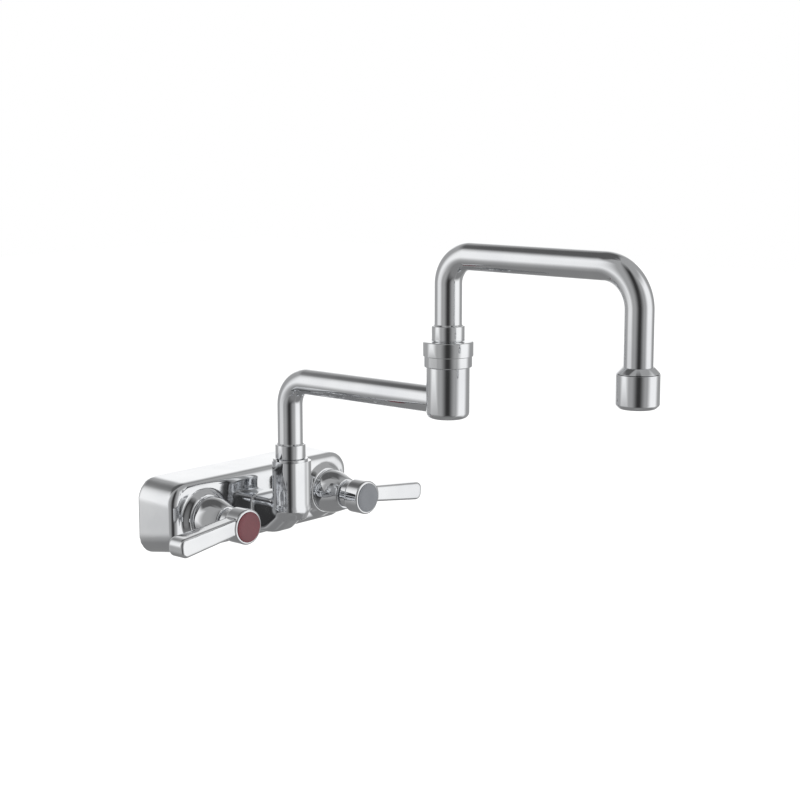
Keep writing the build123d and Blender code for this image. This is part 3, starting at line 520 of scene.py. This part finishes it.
for side, x in VALVES.items():
    coil = vee_thread(INLET_R, FIRST_CUT, LAST_CUT)
    piece(f"{side}_inlet_thread", coil, outward(x), "faucet_body", "raw_brass", bare_brass)

# %% [markdown]
# The caps over the cartridges are turned from bar and screwed down on the bosses. A
# lathe section with rounded rims is all they need; the narrow groove at the foot is the
# shadow line that shows in front of each boss.

# %% Valve caps
CAP_FOOT = BOSS_FRONT
CAP_FRONT = -level("hot_bonnet_cap", 1, 0)
CAP_R, CAP_BORE_R, CAP_NOSE_R, CAP_HOLE_R = 13.4, 12.2, 9.4, 4.8
CAP_WALL, CAP_SHOULDER = 1.2, CAP_FOOT + 6.5
GROOVE_LOW, GROOVE_TOP = CAP_FOOT + 0.9, CAP_FOOT + 1.7
cap_section = [
    (CAP_BORE_R, CAP_FOOT), (13.3, CAP_FOOT), (13.3, GROOVE_LOW), (12.9, GROOVE_LOW + 0.2),
    (12.9, GROOVE_TOP - 0.2), (CAP_R, GROOVE_TOP), (CAP_R, CAP_SHOULDER), (CAP_NOSE_R, CAP_FRONT),
    (CAP_HOLE_R, CAP_FRONT), (CAP_HOLE_R, CAP_FRONT - CAP_WALL),
    (CAP_NOSE_R - CAP_WALL, CAP_FRONT - CAP_WALL), (CAP_BORE_R, CAP_SHOULDER),
]
cap_rims = [(CAP_R, CAP_SHOULDER, 3.2), (CAP_NOSE_R, CAP_FRONT, 0.7), (CAP_R, GROOVE_TOP, 0.15)]
for side, x in VALVES.items():
    cap = lathe(cap_section, cap_rims)
    piece(f"{side}_valve_cap", cap, outward(x), "faucet_body", "polished_chrome", turned_out,
          f"{side}_bonnet_cap")

# %% [markdown]
# The handles are small castings too: a short drum with a tapered lever growing out of it.
# The lever droops a little, and it is thicker at its tip, where the finger pushes.

# %% Lever handles
NECK_START = -level("hot_lever", 1, 1)
NECK_LENGTH = 5.6
BUTTON_PROUD = 0.9
HANDLE_FACE = -level("hot_index_button", 1, 0) - BUTTON_PROUD
BUTTON_R = radius("hot_index_button")
DRUM_R, NECK_R = 10.3, 8.2
LEVER_REACH, LEVER_DROOP, LEVER_RISE = 51.5, 6.6, 1.8
LEVER_ROOT, LEVER_TIP = (4.8, 4.5), (5.65, 6.0)
LEVER_END_R, LEVER_EDGE_R = 4.2, 1.8
LEVER_VOXEL, LEVER_ROUNDS = 0.34, 4


def lever_blade():
    """The tapered lever along +X from the drum's axis, wider and deeper at its tip."""
    bm = box((0, LEVER_REACH), (-1, 1), (-1, 1))
    for vert in bm.verts:
        half_height, half_depth = LEVER_TIP if vert.co.x > 0 else LEVER_ROOT
        vert.co.y *= half_height
        vert.co.z *= half_depth
    soften(bm, [edge for edge in along(bm, 2) if edge.verts[0].co.x > 0], LEVER_END_R, 8)
    sharp = [edge for edge in bm.edges if edge.calc_face_angle(0) > radians(60)]
    soften(bm, sharp, LEVER_EDGE_R, 5)
    return bm


def lever_handle(side, x):
    """Drum, neck and lever grown together, with the seat of the index button cut in."""
    droop = -LEVER_DROOP if side == "cold" else 180 + LEVER_DROOP
    drum_start = NECK_START + NECK_LENGTH
    middle = (drum_start + HANDLE_FACE) / 2
    drum = lathe([(0, drum_start), (DRUM_R, drum_start), (DRUM_R, HANDLE_FACE), (0, HANDLE_FACE)],
                 [(DRUM_R, drum_start, 1.0), (DRUM_R, HANDLE_FACE, 0.9)])
    neck = bar(NECK_R, NECK_START, middle)
    blade_place = Matrix.Translation((0, LEVER_RISE, middle)) @ Matrix.Rotation(radians(droop), 4, "Z")
    shells = [(drum, IDENTITY), (neck, IDENTITY), (lever_blade(), blade_place)]
    seat = bar(BUTTON_R + 0.1, HANDLE_FACE - 1.5, HANDLE_FACE + 1)
    skin = machined(grown(shells, LEVER_VOXEL, LEVER_ROUNDS), [(seat, IDENTITY)])
    piece(f"{side}_lever_handle", skin, outward(x), f"{side}_handle", "polished_chrome", cast_plate,
          f"{side}_lever")


for side, x in VALVES.items():
    lever_handle(side, x)

# %% [markdown]
# An index button is a coloured plastic disc, slightly crowned, with a fine lip at its rim.

# %% Index buttons
for side, x in VALVES.items():
    back = -level(f"{side}_index_button", 1, 1)
    front = -level(f"{side}_index_button", 1, 0)
    section = [(0, back), (BUTTON_R, back), (BUTTON_R, front - 0.45), (BUTTON_R - 0.6, front - 0.12),
               (BUTTON_R - 1.0, front - 0.3), (BUTTON_R / 2, front - 0.08), (0, front)]
    button = lathe(section, [(BUTTON_R, front - 0.45, 0.2), (BUTTON_R - 0.6, front - 0.12, 0.15)])
    colour = hot_index if side == "hot" else cold_index
    piece(f"{side}_index_disc", button, outward(x), f"{side}_handle", f"{side}_index", colour,
          f"{side}_index_button")

# %% [markdown]
# The spout is drawn tube, bent cold round a former. The bend is made as the bender makes
# it: a circle is pushed straight, spun round the centre of the former, and pushed on.

# %% Spout tubes
TUBE_R = radius("lower_spout_tube")
TUBE_WALL = 1.1
TUBE_SIDES, BEND_STEPS = 72, 32
SOCKET_DEPTH = 5.0


def tube_run(name, start, moves, body, node):
    """A tube from a start (y, z): moves are ("go", dy, dz) or ("bend", y, z, degrees)."""
    bm = bmesh.new()
    ring = bmesh.ops.create_circle(bm, segments=TUBE_SIDES, radius=TUBE_R,
                                   matrix=Matrix.Translation((0, *start)))
    end = list(dict.fromkeys(edge for vert in ring["verts"] for edge in vert.link_edges))
    for move in moves:
        if move[0] == "go":
            pushed = bmesh.ops.extrude_edge_only(bm, edges=end)["geom"]
            verts = [item for item in pushed if isinstance(item, bmesh.types.BMVert)]
            bmesh.ops.translate(bm, verts=verts, vec=(0, move[1], move[2]))
        else:
            verts = list(dict.fromkeys(vert for edge in end for vert in edge.verts))
            pushed = bmesh.ops.spin(bm, geom=verts + end, cent=(0, move[1], move[2]), axis=(1, 0, 0),
                                    angle=radians(move[3]), steps=BEND_STEPS,
                                    use_merge=False)["geom_last"]
        end = [item for item in pushed if isinstance(item, bmesh.types.BMEdge)]
    close_up(bm)
    made = piece(name, bm, IDENTITY, body, "polished_chrome", tube_plate, node)
    wall = made.modifiers.new("wall", "SOLIDIFY")
    wall.thickness = TUBE_WALL * MM
    wall.offset = -1
    wall.use_even_offset = True


LOWER_START = level("lower_spout_tube", 2, 0)
LOWER_ARM = level("lower_spout_tube", 2, 1) - TUBE_R
LOWER_BEND = 15.0
LOWER_END = level("lower_spout_tube", 1, 0)
lower_moves = [
    ("go", 0, LOWER_ARM - LOWER_BEND - LOWER_START),
    ("bend", HUB_Y - LOWER_BEND, LOWER_ARM - LOWER_BEND, 90),
    ("go", LOWER_END - HUB_Y + LOWER_BEND, 0),
]
tube_run("lower_spout_pipe", (HUB_Y, LOWER_START), lower_moves, "lower_spout", "lower_spout_tube")
UPPER_START = level("upper_swivel_stem", 2, 1) - SOCKET_DEPTH
UPPER_ARM = level("upper_spout_tube", 2, 1) - TUBE_R
UPPER_BEND = 15.5
OUTLET_BEND = 21.0
UPPER_END = level("upper_spout_tube", 2, 0)
upper_moves = [
    ("go", 0, UPPER_ARM - UPPER_BEND - UPPER_START),
    ("bend", JOINT_Y - UPPER_BEND, UPPER_ARM - UPPER_BEND, 90),
    ("go", OUTLET_Y - JOINT_Y + UPPER_BEND + OUTLET_BEND, 0),
    ("bend", OUTLET_Y + OUTLET_BEND, UPPER_ARM - OUTLET_BEND, 90),
    ("go", 0, UPPER_END - UPPER_ARM + OUTLET_BEND),
]
tube_run("upper_spout_pipe", (JOINT_Y, UPPER_START), upper_moves, "upper_spout", "upper_spout_tube")

# %% [markdown]
# The swivels are lathe work: a ring nut in the hub with notches for a spanner, a collar
# brazed on each riser, the joint block at the end of the lower arm and its two-step nut.

# %% Swivels
STEM_R, STEM_BORE_R, COLLAR_R, SOCKET_R = 7.75, 5.0, 9.0, TUBE_R + 0.05
STEM_HOLE_R = 8.05
RING_HALF, GROOVE_HALF, GROOVE_FLOOR_R = 0.9, 0.95, 5.9
FLANGE_R, FLANGE_THICK = 9.1, 2.4
ABOVE_NUT = 0.3
GLAND_LOW, GLAND_TOP = level("hub_gland_nut", 2, 0), level("hub_gland_nut", 2, 1)
GLAND_R = level("hub_gland_nut", 1, 1) - HUB_Y
GLAND_THREAD_R, NOTCH_HALF = 9.4, 1
gland_section = [
    (STEM_HOLE_R, GLAND_LOW), (GLAND_THREAD_R, GLAND_LOW), (GLAND_THREAD_R, HUB_TOP),
    (GLAND_R, HUB_TOP), (GLAND_R, GLAND_TOP), (STEM_HOLE_R, GLAND_TOP),
]
gland = lathe(gland_section, [(GLAND_R, GLAND_TOP, 0.35)])
notches = [
    (box((sign * GLAND_R - NOTCH_HALF, sign * GLAND_R + NOTCH_HALF), (-NOTCH_HALF, NOTCH_HALF),
         (HUB_TOP + 0.4, GLAND_TOP + 1)), IDENTITY)
    for sign in (-1, 1)
]
gland = machined(gland, notches)
piece("spout_gland_ring", gland, upright(HUB_Y), "faucet_body", "polished_chrome", turned_up, "hub_gland_nut")


def collar(name, level_name, foot, y):
    """A swivel's stem with its ring grooves and flange, and the collar that takes the riser."""
    stem, rings = f"{level_name}_swivel_stem", f"{level_name}_stem_rings"
    low, top, flange = level(stem, 2, 0), level(stem, 2, 1), level(WASHERS[level_name], 2, 1)
    section = [(STEM_BORE_R, low), (STEM_R, low)]
    for middle in (level(rings, 2, 0) + RING_HALF, level(rings, 2, 1) - RING_HALF):
        below, above = middle - GROOVE_HALF, middle + GROOVE_HALF
        section += [(STEM_R, below), (GROOVE_FLOOR_R, below), (GROOVE_FLOOR_R, above), (STEM_R, above)]
    section += [(STEM_R, flange), (FLANGE_R, flange), (FLANGE_R, flange + FLANGE_THICK),
                (STEM_R, flange + FLANGE_THICK), (STEM_R, foot), (COLLAR_R, foot), (COLLAR_R, top),
                (SOCKET_R, top), (SOCKET_R, top - SOCKET_DEPTH), (STEM_BORE_R, top - SOCKET_DEPTH)]
    bm = lathe(section, [(COLLAR_R, top, 0.6), (COLLAR_R, foot, 0.2)])
    body = f"{level_name}_spout"
    piece(name, bm, upright(y), body, "polished_chrome", turned_up, stem)
    bead = lathe([(TUBE_R - 0.05, top - 0.3), (TUBE_R + 0.8, top - 0.3), (TUBE_R - 0.05, top + 0.75)])
    piece(f"{name}_braze", bead, upright(y), body, "polished_chrome", turned_up)


NUT_LOW, NUT_TOP = level("joint_nut", 2, 0), level("joint_nut", 2, 1)
WASHERS = {"lower": "hub_thrust_washer", "upper": "joint_thrust_washer"}
collar("lower_spout_collar", "lower", GLAND_TOP + ABOVE_NUT, HUB_Y)
collar("upper_spout_collar", "upper", NUT_TOP + ABOVE_NUT, JOINT_Y)

CUP_R, CUP_LOW, CUP_TOP = radius("joint_block"), level("joint_block", 2, 0), level("joint_block", 2, 1)
CUP_SEAT = level("joint_thrust_washer", 2, 0)
CUP_NECK_R, CUP_MOUTH_R, CUP_BORE_R, CUP_FLOOR = 10.7, 9.3, 7.8, CUP_LOW + 3
cup_section = [
    (0, CUP_LOW), (CUP_R, CUP_LOW), (CUP_R, NUT_LOW), (CUP_NECK_R, NUT_LOW), (CUP_NECK_R, CUP_TOP),
    (CUP_MOUTH_R, CUP_TOP), (CUP_MOUTH_R, CUP_SEAT), (CUP_BORE_R, CUP_SEAT), (CUP_BORE_R, CUP_FLOOR),
    (0, CUP_FLOOR),
]
cup = lathe(cup_section, [(CUP_R, CUP_LOW, 3.4), (CUP_R, NUT_LOW, 0.3)])
piece("spout_joint_cup", cup, upright(JOINT_Y), "lower_spout", "polished_chrome", turned_up, "joint_block")
NUT_R, NUT_LOWER_R, NUT_STEP = radius("joint_nut"), 13.2, NUT_LOW + 6
NUT_THREAD_R = CUP_NECK_R + 0.05
nut_section = [
    (NUT_THREAD_R, NUT_LOW), (NUT_LOWER_R, NUT_LOW), (NUT_LOWER_R, NUT_STEP), (NUT_R, NUT_STEP),
    (NUT_R, NUT_TOP), (STEM_HOLE_R, NUT_TOP), (STEM_HOLE_R, CUP_TOP), (NUT_THREAD_R, CUP_TOP),
]
nut_rims = [(NUT_LOWER_R, NUT_LOW, 0.6), (NUT_R, NUT_STEP, 0.3), (NUT_R, NUT_TOP, 0.8),
            (NUT_LOWER_R, NUT_STEP, 0.2)]
nut = lathe(nut_section, nut_rims)
piece("spout_joint_ring", nut, upright(JOINT_Y), "lower_spout", "polished_chrome", turned_up, "joint_nut")

# %% [markdown]
# At the outlet a taper is brazed on the tube, and a sleeve screws over it to hold the
# aerator: a plastic core with a ring of ports, and under it a woven steel screen.

# %% Outlet
SLEEVE_R, SLEEVE_LOW = radius("aerator_shell"), level("aerator_shell", 2, 0)
SLEEVE_TOP = level("aerator_shell", 2, 1)
SLEEVE_BORE_R, SLEEVE_MOUTH_R, SLEEVE_CHAMFER = 9.45, 8.15, 1.8
TAPER_TOP = level("outlet_adapter", 2, 1)
TAPER_R, TAPER_FOOT_R, TAPER_FOOT = TUBE_R + 0.6, SLEEVE_R - 0.05, SLEEVE_TOP + 0.25
TAPER_BORE_R, TAPER_THREAD_R, TAPER_THREAD, TAPER_SOCKET = 6.4, 9.4, 6, 4
taper_section = [
    (TAPER_BORE_R, SLEEVE_TOP - TAPER_THREAD), (TAPER_THREAD_R, SLEEVE_TOP - TAPER_THREAD),
    (TAPER_THREAD_R, SLEEVE_TOP), (TAPER_FOOT_R, TAPER_FOOT), (TAPER_R, TAPER_TOP),
    (SOCKET_R, TAPER_TOP), (SOCKET_R, TAPER_TOP - TAPER_SOCKET), (TAPER_BORE_R, TAPER_TOP - TAPER_SOCKET),
]
taper = lathe(taper_section, [(TAPER_R, TAPER_TOP, 0.25), (TAPER_FOOT_R, TAPER_FOOT, 0.25)])
piece("outlet_taper", taper, upright(OUTLET_Y), "upper_spout", "polished_chrome", turned_up, "outlet_adapter")
CHAMFER_TOP, CHAMFER_R = SLEEVE_LOW + SLEEVE_CHAMFER, SLEEVE_R - SLEEVE_CHAMFER
sleeve_section = [
    (SLEEVE_BORE_R, SLEEVE_TOP), (SLEEVE_R, SLEEVE_TOP), (SLEEVE_R, CHAMFER_TOP), (CHAMFER_R, SLEEVE_LOW),
    (SLEEVE_MOUTH_R, SLEEVE_LOW), (SLEEVE_MOUTH_R, SLEEVE_LOW + 1.3), (SLEEVE_BORE_R, SLEEVE_LOW + 2.2),
]
sleeve_rims = [(SLEEVE_R, SLEEVE_TOP, 0.3), (SLEEVE_R, CHAMFER_TOP, 0.5), (CHAMFER_R, SLEEVE_LOW, 0.3),
               (SLEEVE_MOUTH_R, SLEEVE_LOW, 0.2)]
sleeve = lathe(sleeve_section, sleeve_rims)
piece("aerator_sleeve", sleeve, upright(OUTLET_Y), "upper_spout", "polished_chrome", turned_up,
      "aerator_shell")

# %% [markdown]
# What hangs in the mouth of the sleeve is seen from below: a moulded plug with a ring of
# ports, and under it two crossing sets of fine steel wires. In a plain weave each wire
# goes over one neighbour and under the next, so its height only has to change sign.

# %% Aerator
CORE_R, CORE_LOW = radius("aerator_insert"), level("aerator_insert", 2, 0)
CORE_TOP = level("aerator_insert", 2, 1)
PORTS, PORT_RING_R, PORT_R = 12, 4.8, 0.8
DISH_R, DISH_FLOOR_R, DISH_FLOOR = 3.0, 2.4, CORE_TOP - 0.8
core_section = [
    (0, CORE_LOW), (CORE_R, CORE_LOW), (CORE_R, CORE_TOP), (DISH_R, CORE_TOP),
    (DISH_FLOOR_R, DISH_FLOOR), (0, DISH_FLOOR),
]
core = lathe(core_section, [(CORE_R, CORE_LOW, 0.4), (CORE_R, CORE_TOP, 0.4)])
on_ring = Matrix.Translation((PORT_RING_R, 0, 0))
drills = [(bar(PORT_R, CORE_LOW - 1, CORE_TOP + 1), Matrix.Rotation(tau * step / PORTS, 4, "Z") @ on_ring)
          for step in range(PORTS)]
piece("aerator_core", machined(core, drills), upright(OUTLET_Y), "upper_spout", "cage_plastic", white_plastic,
      "aerator_insert")


def woven(reach, pitch, wire, height):
    """A plain weave of wires, clipped to a circle."""
    curve = bpy.data.curves.new("weave", "CURVE")
    curve.dimensions = "3D"
    curve.bevel_depth = wire
    curve.bevel_resolution = 1
    curve.use_fill_caps = True
    rows = int(reach / pitch - 0.5)
    for way in (0, 1):
        for row in range(-rows, rows + 1):
            ends = int(sqrt(reach ** 2 - (row * pitch) ** 2) / pitch)
            spline = curve.splines.new("POLY")
            spline.points.add(2 * ends)
            for step, point in zip(range(-ends, ends + 1), spline.points):
                lift = wire if (row + step + way) % 2 else -wire
                x, y = (step, row) if way == 0 else (row, step)
                point.co = (x * pitch, y * pitch, height + lift, 1)
    carrier = bpy.data.objects.new("weave", curve)
    bpy.context.scene.collection.objects.link(carrier)
    bm = bmesh.new()
    bm.from_mesh(carrier.evaluated_get(bpy.context.evaluated_depsgraph_get()).to_mesh())
    bpy.data.objects.remove(carrier)
    return bm


WIRE_PITCH, WIRE_R = 0.9, 0.16
SCREEN_LOW, SCREEN_TOP = level("aerator_screen", 2, 0), level("aerator_screen", 2, 1)
weave = woven(radius("aerator_screen"), WIRE_PITCH, WIRE_R, (SCREEN_LOW + SCREEN_TOP) / 2)
piece("aerator_mesh", weave, upright(OUTLET_Y), "upper_spout", "spring_steel", steel, "aerator_screen")

# %% [markdown]
# The stage is a plain pale floor well under the faucet. Matt paint with a little glow of
# its own comes out white and still takes a shadow. Polished metal looks past it, because
# a white floor in the chrome would wash out the underside of every tube.

# %% Floor
FLOOR_DROP, FLOOR_HALF = 0.25, 4.0
PAINT, GLOW = 0.8, 0.35
floor_bm = bmesh.new()
bmesh.ops.create_grid(floor_bm, x_segments=1, y_segments=1, size=FLOOR_HALF)
bmesh.ops.translate(floor_bm, verts=floor_bm.verts, vec=(0, 0, -FLOOR_DROP))
floor_mesh = bpy.data.meshes.new("floor")
floor_bm.to_mesh(floor_mesh)
floor_bm.free()
floor = bpy.data.objects.new("floor", floor_mesh)
bpy.context.scene.collection.objects.link(floor)


def floor_paint():
    """Pale paint that the camera sees as white; polished metal looks past it to the studio."""
    material = bpy.data.materials.new("pale_floor")
    material.use_nodes = True
    tree = material.node_tree
    tree.nodes.remove(tree.nodes["Principled BSDF"])
    path = tree.nodes.new("ShaderNodeLightPath")
    paint = add(tree, "ShaderNodeBsdfDiffuse", Color=(PAINT, PAINT, PAINT, 1))
    lift = add(tree, "ShaderNodeEmission", Color=(1, 1, 1, 1), Strength=GLOW)
    both = tree.nodes.new("ShaderNodeAddShader")
    clear = tree.nodes.new("ShaderNodeBsdfTransparent")
    choose = tree.nodes.new("ShaderNodeMixShader")
    tree.links.new(paint.outputs[0], both.inputs[0])
    tree.links.new(lift.outputs[0], both.inputs[1])
    tree.links.new(path.outputs["Is Glossy Ray"], choose.inputs["Fac"])
    tree.links.new(both.outputs[0], choose.inputs[1])
    tree.links.new(clear.outputs[0], choose.inputs[2])
    tree.links.new(choose.outputs[0], tree.nodes["Material Output"].inputs["Surface"])
    return material


floor.data.materials.append(floor_paint())
print("floor at", -FLOOR_DROP, "m")

# %% [markdown]
# Bright metal shows what stands round it. In an even white room this faucet all but
# disappears, so a ray that leaves the chrome finds a studio instead: a grey room with
# large soft panels and a darker place near the camera. Everything else, matt surfaces and
# the camera alike, gets an even white world, at which a colour looks as it is written.

# %% Studio
# Each panel is (azimuth, elevation, half width, half height, softness, brightness), the
# first five in degrees. Azimuth 0 looks into the wall and 90 to the user's right.
GREY_ROOM = 0.42
PANELS = [
    (0, -60, 180, 28, 12, 0.26),
    (10, 64, 60, 20, 8, 0.12),
    (-48, 14, 17, 26, 14, 1.08),
    (43, 0, 18, 24, 12, 1.15),
    (150, 5, 26, 38, 14, 1.12),
    (92, -8, 18, 30, 10, 0.38),
    (-128, 18, 21, 55, 18, 0.04),
]


def math_node(tree, operation, *values):
    """A maths node on sockets or plain numbers."""
    node = tree.nodes.new("ShaderNodeMath")
    node.operation = operation
    for slot_number, value in enumerate(values):
        if isinstance(value, (int, float)):
            node.inputs[slot_number].default_value = value
        else:
            tree.links.new(value, node.inputs[slot_number])
    return node.outputs[0]


def studio():
    """The world: white to the camera, even to matt surfaces, panels to polished ones."""
    world = bpy.data.worlds.new("studio")
    world.use_nodes = True
    bpy.context.scene.world = world
    tree = world.node_tree
    place = tree.nodes.new("ShaderNodeTexCoord")
    parts = tree.nodes.new("ShaderNodeSeparateXYZ")
    tree.links.new(place.outputs["Generated"], parts.inputs[0])
    degrees = 360 / tau
    heading = math_node(tree, "ARCTAN2", parts.outputs[0], parts.outputs[1])
    azimuth = math_node(tree, "MULTIPLY", heading, degrees)
    elevation = math_node(tree, "MULTIPLY", math_node(tree, "ARCSINE", parts.outputs[2]), degrees)
    room = GREY_ROOM
    for turn, height, half_width, half_height, soft, value in PANELS:
        away = math_node(tree, "WRAP", math_node(tree, "SUBTRACT", azimuth, turn), 180.0, -180.0)
        aside = math_node(tree, "ABSOLUTE", away)
        across = math_node(tree, "DIVIDE", math_node(tree, "SUBTRACT", half_width, aside), soft)
        rise = math_node(tree, "ABSOLUTE", math_node(tree, "SUBTRACT", elevation, height))
        upward = math_node(tree, "DIVIDE", math_node(tree, "SUBTRACT", half_height, rise), soft)
        inside = tree.nodes.new("ShaderNodeMapRange")
        inside.interpolation_type = "SMOOTHSTEP"
        tree.links.new(math_node(tree, "MINIMUM", across, upward), inside.inputs["Value"])
        inside.inputs["From Min"].default_value = -1.0
        inside.inputs["From Max"].default_value = 1.0
        step = math_node(tree, "SUBTRACT", value, room)
        room = math_node(tree, "MULTIPLY_ADD", step, inside.outputs["Result"], room)
    path = tree.nodes.new("ShaderNodeLightPath")
    glossy = path.outputs["Is Glossy Ray"]
    level_out = math_node(tree, "MULTIPLY_ADD", math_node(tree, "SUBTRACT", room, 1.0), glossy, 1.0)
    tree.links.new(level_out, tree.nodes["Background"].inputs["Strength"])
    tree.nodes["Background"].inputs["Color"].default_value = (1, 1, 1, 1)


studio()
print("panels:", len(PANELS))

# %% [markdown]
# The camera stands to the left of the spout and a little above it, where the photograph
# was taken, with a long lens so that the faucet keeps its proportions.

# %% Camera
DOWN_TILT, TURN_RIGHT = 9.4, 49.3
camera_data = bpy.data.cameras.new("camera")
camera_data.lens = 79.4
camera_data.sensor_width = 36.0
camera = bpy.data.objects.new("camera", camera_data)
camera.location = (-0.7361, -0.7702, 0.2352)
camera.rotation_euler = (radians(90 - DOWN_TILT), 0, -radians(TURN_RIGHT))
bpy.context.scene.collection.objects.link(camera)
bpy.context.scene.camera = camera
bpy.context.scene.view_settings.view_transform = "Standard"
print("camera lens", camera_data.lens, "mm")
